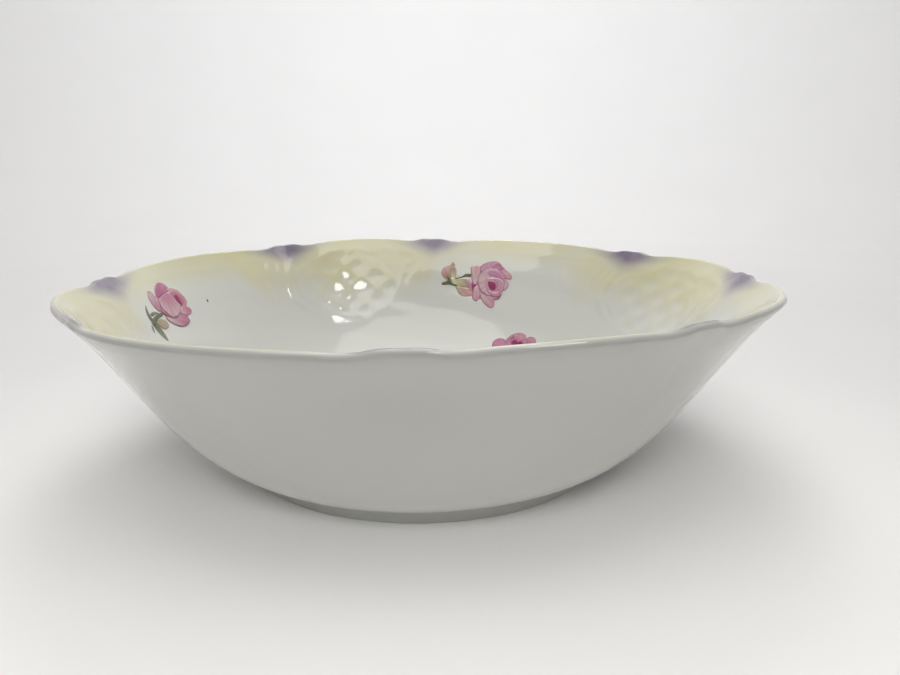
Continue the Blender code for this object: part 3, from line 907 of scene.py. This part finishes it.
def make_sweep():
    """A round studio sweep: a flat floor that bends up into a wall all round. Returns its parts."""
    material, tree, shader = new_material("sweep_paper")
    grey = mixed(tree, noise(tree, scale=9.0, detail=4.0), *SWEEP_GREYS)
    tree.links.new(grey, shader.inputs["Base Color"])
    shader.inputs["Roughness"].default_value = 0.9
    shader.inputs["Specular IOR Level"].default_value = 0.15
    near = [(0.0, 0.0), (SWEEP_NEAR / 2, 0.0), (SWEEP_NEAR, 0.0)]
    parts = [make_sweep_part("floor", 0.0, 360.0, True, near, material)]
    bend = arc((SWEEP_FLOOR, SWEEP_BEND), SWEEP_BEND, -90, 0, 24)
    flat = [(SWEEP_NEAR, 0.0), ((SWEEP_NEAR + SWEEP_FLOOR) / 2, 0.0)]
    far = flat + bend + [(SWEEP_FLOOR + SWEEP_BEND, SWEEP_HEIGHT)]
    for name, start, turn, throws_light in SWEEP_PARTS:
        parts.append(make_sweep_part(name, start, turn, throws_light, far, material))
    return parts


def add_area_light(name, place, target, size, power, colour):
    data = bpy.data.lights.new(name, "AREA")
    data.shape = "DISK"
    data.size = size
    data.energy = power
    data.color = colour
    light = bpy.data.objects.new(name, data)
    light.location = place
    light.rotation_euler = (Vector(target) - Vector(place)).to_track_quat("-Z", "Y").to_euler()
    light.visible_camera = False
    bpy.context.scene.collection.objects.link(light)
    return light


def make_world():
    world = bpy.data.worlds.new("studio")
    bpy.context.scene.world = world
    world.use_nodes = True
    background = world.node_tree.nodes["Background"]
    background.inputs["Color"].default_value = (0.97, 0.98, 1.0, 1.0)
    background.inputs["Strength"].default_value = 0.11


def make_highlight_card():
    """A small card that only the glaze mirrors."""
    place = CARD_AIM + CARD_DISTANCE * CARD_DIRECTION.normalized()
    card = add_area_light("highlight_card", place, CARD_AIM, CARD_WIDTH, power=3.2, colour=(1.0, 1.0, 0.98))
    card.data.shape = "RECTANGLE"
    card.data.size_y = CARD_HEIGHT
    card.visible_diffuse = False


def make_floor_fill(sweep):
    """A narrow light from in front that falls on the floor and on nothing else."""
    lit_by_fill = bpy.data.collections.new("lit_by_fill")
    for part in sweep:
        lit_by_fill.objects.link(part)
    place, target = (0.0, -0.50, 0.30), (0.0, -0.08, 0.0)
    fill = add_area_light("floor_fill", place, target, FILL_SIZE, power=0.36, colour=(0.99, 0.995, 1.0))
    fill.data.spread = FILL_SPREAD
    fill.visible_glossy = False
    fill.light_linking.receiver_collection = lit_by_fill


def make_lights(sweep):
    make_world()
    make_highlight_card()
    for name, side in (("right_panel", 0.45), ("left_panel", -0.45)):
        place, target = (side, -0.50, 1.25), (0.0, 0.0, 0.03)
        panel = add_area_light(name, place, target, PANEL_SIZE, power=3.0, colour=(1.0, 0.995, 0.98))
        panel.visible_glossy = False
    place, target = (0.0, -0.12, 1.35), (0.0, 0.0, 0.0)
    add_area_light("overhead", place, target, OVERHEAD_SIZE, power=7.8, colour=(1.0, 0.998, 0.985))
    make_floor_fill(sweep)
    place, target = (0.0, 0.75, 1.25), (0.0, 1.35, 0.45)
    add_area_light("backdrop", place, target, BACKDROP_SIZE, power=14.0, colour=(0.95, 0.965, 1.0))


def make_camera():
    data = bpy.data.cameras.new("camera")
    data.lens = CAMERA_LENS
    data.sensor_width = SENSOR_WIDTH
    camera = bpy.data.objects.new("camera", data)
    turned = (
        Matrix.Rotation(CAMERA_HEADING, 4, "Z")
        @ Matrix.Rotation(math.pi / 2 - CAMERA_PITCH, 4, "X")
        @ Matrix.Rotation(CAMERA_ROLL, 4, "Z")
    )
    camera.matrix_world = Matrix.Translation(CAMERA_PLACE) @ turned
    bpy.context.scene.collection.objects.link(camera)
    bpy.context.scene.camera = camera


def main():
    bpy.context.scene.view_settings.view_transform = "Standard"
    make_camera()
    make_lights(make_sweep())
    body = make_body(glaze_material())
    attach(body, "root")
    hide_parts("bowl_body")
    print_colours = print_material()
    for node, azimuth, along, shapes in SPRAYS:
        make_spray(node, azimuth, along, shapes, print_colours)
    specks = make_specks(speck_material())
    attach(specks, "root")


main()
